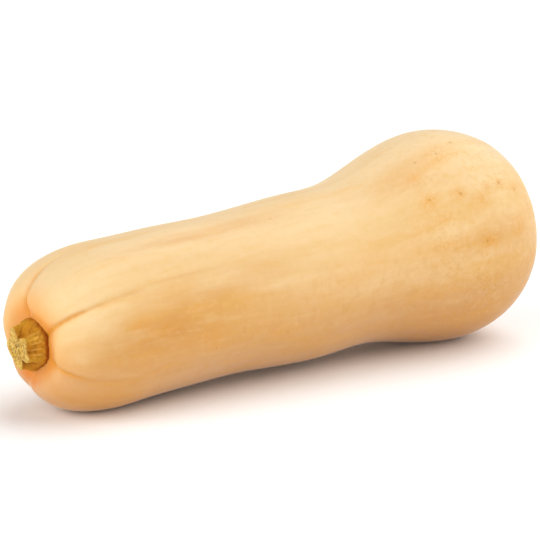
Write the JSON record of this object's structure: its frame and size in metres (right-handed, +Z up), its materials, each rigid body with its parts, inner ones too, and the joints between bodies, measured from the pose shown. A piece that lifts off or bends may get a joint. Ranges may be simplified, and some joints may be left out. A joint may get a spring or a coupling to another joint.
{
  "type": "butternut squash",
  "caption": "Whole butternut squash lying on its side: long furrowed neck, rounded bulb with a blossom scar, and a dry ribbed stem stub.",
  "frame": {"origin": "middle of the underside of the whole part, on the surface that it lies on", "axes": "+X from the stem end to the blossom end, +Z up, +Y to the side away from the viewer"},
  "size_m": [0.2822, 0.103, 0.1024],
  "materials": {
    "rind": "smooth waxy rind with a soft satin sheen, cream to orange tan, with faint streaks, mottling and an orange blush near the stem",
    "stem": "dry corky stem, ochre brown, with a pale fibrous cut end"
  },
  "bodies": {
    "root": {"fruit": "rind", "stem": "stem"}
  },
  "joints": []
}
